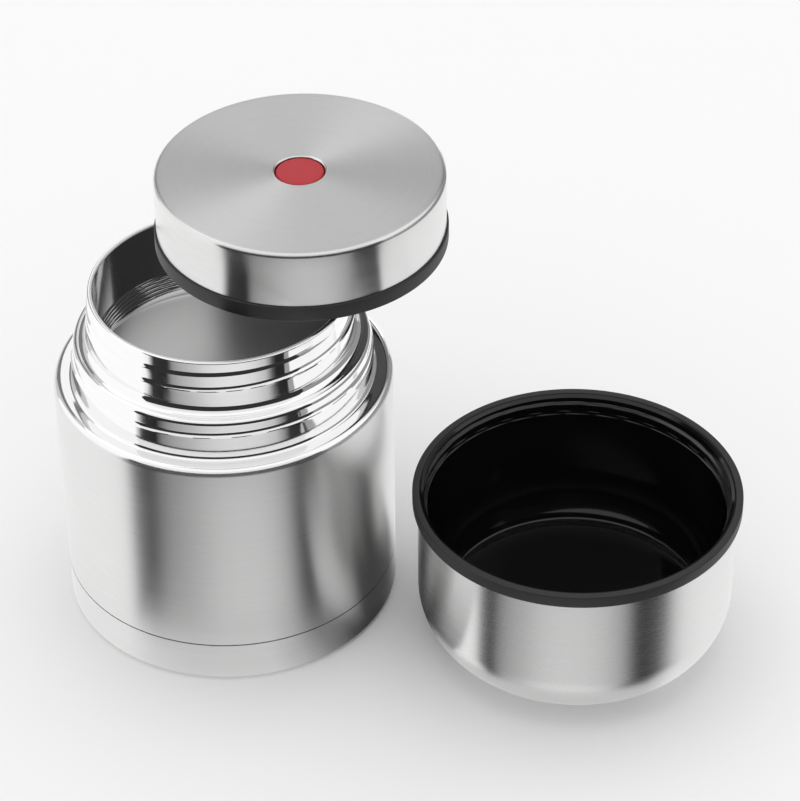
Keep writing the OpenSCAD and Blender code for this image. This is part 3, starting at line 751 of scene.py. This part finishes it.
# %% Lid cover and body
cover_line = outline(
    (LID_R - SHEET, RIM_H + FIT), (LID_R, RIM_H + FIT),
    line(LID_R, RIM_H + 1, LID_R, LID_H - LID_ROUND, 4),
    arc(LID_R - LID_ROUND, LID_H - LID_ROUND, LID_ROUND, 0, 90, 14),
    line(38, LID_H, 9, LID_H, 14),
    arc(COLLAR_R + COLLAR_ROUND, LID_H - COLLAR_ROUND, COLLAR_ROUND, 90, 180, 10),
    (COLLAR_R, LID_H - COLLAR_H), (COLLAR_R + SHEET, LID_H - COLLAR_H),
    (COLLAR_R + SHEET, LID_H - SHEET),
    arc(LID_R - LID_ROUND, LID_H - LID_ROUND, LID_ROUND - SHEET, 90, 0))
fit(lathe("lid_top", cover_line, LID), "lid", "lid_cover", lid_steel)

RIM_MID, PLUG_IN, DECK_OUT = RIM_R - RIM_ROUND, PLUG_R - PLUG_WALL, SKIRT_OUT - PLUG_WALL
body_line = outline(
    (SKIRT_IN, 0), arc(RIM_MID, RIM_ROUND, RIM_ROUND, -90, 0),
    arc(RIM_MID, RIM_H - RIM_ROUND, RIM_ROUND, 0, 90), (SKIRT_OUT, RIM_H),
    arc(LID_R - LID_ROUND, LID_H - LID_ROUND, LID_ROUND - SHEET - FIT, 0, 90),
    (DECK_OUT, LID_H - SHEET - FIT), (DECK_OUT, DECK_Z), (GUIDE_OUT + FIT, DECK_Z),
    (GUIDE_OUT + FIT, SLOT_Z), (PLUG_IN, SLOT_Z), (PLUG_IN, PLUG_Z), (PLUG_R, PLUG_Z),
    (PLUG_R, SLOT_Z), (SKIRT_IN, SLOT_Z), line(SKIRT_IN, SLOT_Z - 1, SKIRT_IN, 1, 110))


def lid_thread(r, z, a):
    """The lid's ridge stands inwards from its skirt and runs in the neck's groove."""
    share = ridge(z, a, top=9.4, bearing=85, pitch=4.2, turns=1.05, width=1.4)
    return np.where(np.abs(r - SKIRT_IN) < NEAR, SKIRT_IN - THREAD_H * share, r), z


fit(lathe("lid_core", body_line, LID, columns=256, form=lid_thread),
    "lid", "lid_body", rim_black)

# %% [markdown]
# ## The button
# The red button lets air in, so that the lid comes off after hot food has cooled. It stands
# just below the cover's rolled edge, with a gap all round. A flange keeps it in the lid, and
# a boss below it takes the stem.

# %% Button
BUTTON_Z = LID_H - BUTTON_SUNK
button_line = outline(
    (0, FLANGE_Z), (BOSS_IN, FLANGE_Z), (BOSS_IN, BOSS_Z), (BOSS_OUT, BOSS_Z),
    (BOSS_OUT, FLANGE_Z), (FLANGE_R, FLANGE_Z), (FLANGE_R, FLANGE_TOP_Z),
    (BUTTON_R, FLANGE_TOP_Z),
    arc(BUTTON_R - BUTTON_ROUND, BUTTON_Z - BUTTON_ROUND, BUTTON_ROUND, 0, 90, 10),
    line(5, BUTTON_Z, 1, BUTTON_Z, 4), (0, BUTTON_Z))
fit(lathe("press_button", button_line, LID, columns=128),
    "button", "button", button_red)

# %% [markdown]
# ## The bowl
# The bowl is the jar's outer cover turned over. Its steel shell has a deep round shoulder,
# its liner is glossy black with the thread for the jar, and a dark band hooks over the edge.

# %% Bowl shell
SHELL_TOP_Z = BOWL_H - BAND_WEB - FIT
shell_line = outline(
    (0, 0), (SHELL_FAN_R, 0),
    arc(BOWL_R - BOWL_ROUND, BOWL_ROUND, BOWL_ROUND, -90, 0, 40),
    line(BOWL_R, BOWL_ROUND + 1, BOWL_R, SHELL_TOP_Z, 6), (BOWL_R - SHEET, SHELL_TOP_Z),
    arc(BOWL_R - BOWL_ROUND, BOWL_ROUND, BOWL_ROUND - SHEET, 0, -90, 24),
    (SHELL_FAN_R, SHEET), (0, SHEET))
fit(lathe("bowl_wall", shell_line, BOWL), "bowl", "bowl_shell", bowl_steel)

# %% [markdown]
# ## The bowl's liner
# The liner's floor is smaller than its mouth. Between them its wall swings in along one
# large arc, which leaves the upright part smoothly and meets the floor's small edge. For an
# arc that goes in by s while it falls by h, the angle is 2 atan(s / h) and the radius is
# h / sin(angle).

# %% Liner
LINER_RISE = LINER_TURN_Z - LINER_FLOOR - LINER_EDGE
TURN = 2 * math.atan(LINER_STEP / LINER_RISE)
TURN_R, TURN_DEG = LINER_RISE / math.sin(TURN), math.degrees(TURN)


def liner_line(t, floor_t):
    """Face of the liner at distance t outside its inner face, from the floor to the wall."""
    return outline(
        (LINER_FAN_R, LINER_FLOOR - floor_t),
        arc(LINER_R - LINER_STEP - LINER_EDGE, LINER_FLOOR + LINER_EDGE, LINER_EDGE + floor_t,
            -90, -TURN_DEG, 8),
        arc(LINER_R - TURN_R, LINER_TURN_Z, TURN_R + t, -TURN_DEG, 0, 18))


liner_points = outline(
    (0, LINER_FLOOR - LINER_BASE), liner_line(LINER_T, LINER_BASE),
    (LINER_R + LINER_T, LINER_TOP_Z), (LINER_R + LINER_BEVEL, LINER_TOP_Z),
    line(LINER_R, LINER_TOP_Z - LINER_BEVEL, LINER_R, LINER_LEVEL_Z, 110),
    liner_line(0, 0)[::-1], (0, LINER_FLOOR))


def bowl_thread(r, z, a):
    """The liner's ridge stands inwards and runs in the groove of the jar's lower ring."""
    share = ridge(z, a, top=BOWL_H - 2, bearing=193, pitch=3.5, turns=1.7, width=1.4)
    on_wall = on_line(r, z, LINER_R, LINER_LEVEL_Z, LINER_TOP_Z)
    return np.where(on_wall, LINER_R - LINER_THREAD_H * share, r), z


fit(lathe("bowl_lining", liner_points, BOWL, columns=320, form=bowl_thread),
    "bowl", "bowl_liner", liner_black)

# %% Bowl band
band_line = outline(
    (BOWL_R + FIT, BOWL_H - BAND_H),
    arc(BAND_R - BAND_ROUND, BOWL_H - BAND_H + BAND_ROUND, BAND_ROUND, -90, 0),
    arc(BAND_R - BAND_ROUND, BOWL_H - BAND_ROUND, BAND_ROUND, 0, 90),
    arc(BAND_IN + BAND_ROUND, BOWL_H - BAND_ROUND, BAND_ROUND, 90, 180),
    (BAND_IN, BOWL_H - BAND_WEB), (BOWL_R + FIT, BOWL_H - BAND_WEB))
fit(lathe("bowl_hoop", band_line, BOWL), "bowl", "bowl_band", band_black)

# %% [markdown]
# ## The pieces inside
# What is left keeps its CAD mesh: it is hidden at rest and shows only when the lid is
# lifted or a wall is taken away. Each still gets the finish of what it is made of.

# %% Finishes of the CAD pieces
for node, finish in {
        "heat_foil": foil, "outer_bottom": pressed, "getter_clip": pressed,
        "getter_pellet": getter_grey, "seal_bead": bead_glass, "lid_foam": foam,
        "plug_cover": inner_black, "lip_gasket": silicone, "button_guide": inner_black,
        "button_spring": wire, "valve_stem": pressed, "valve_seal": silicone,
        "stem_clip": wire}.items():
    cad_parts[node].material_slots[0].material = finish
    print(node, "is", finish.name)
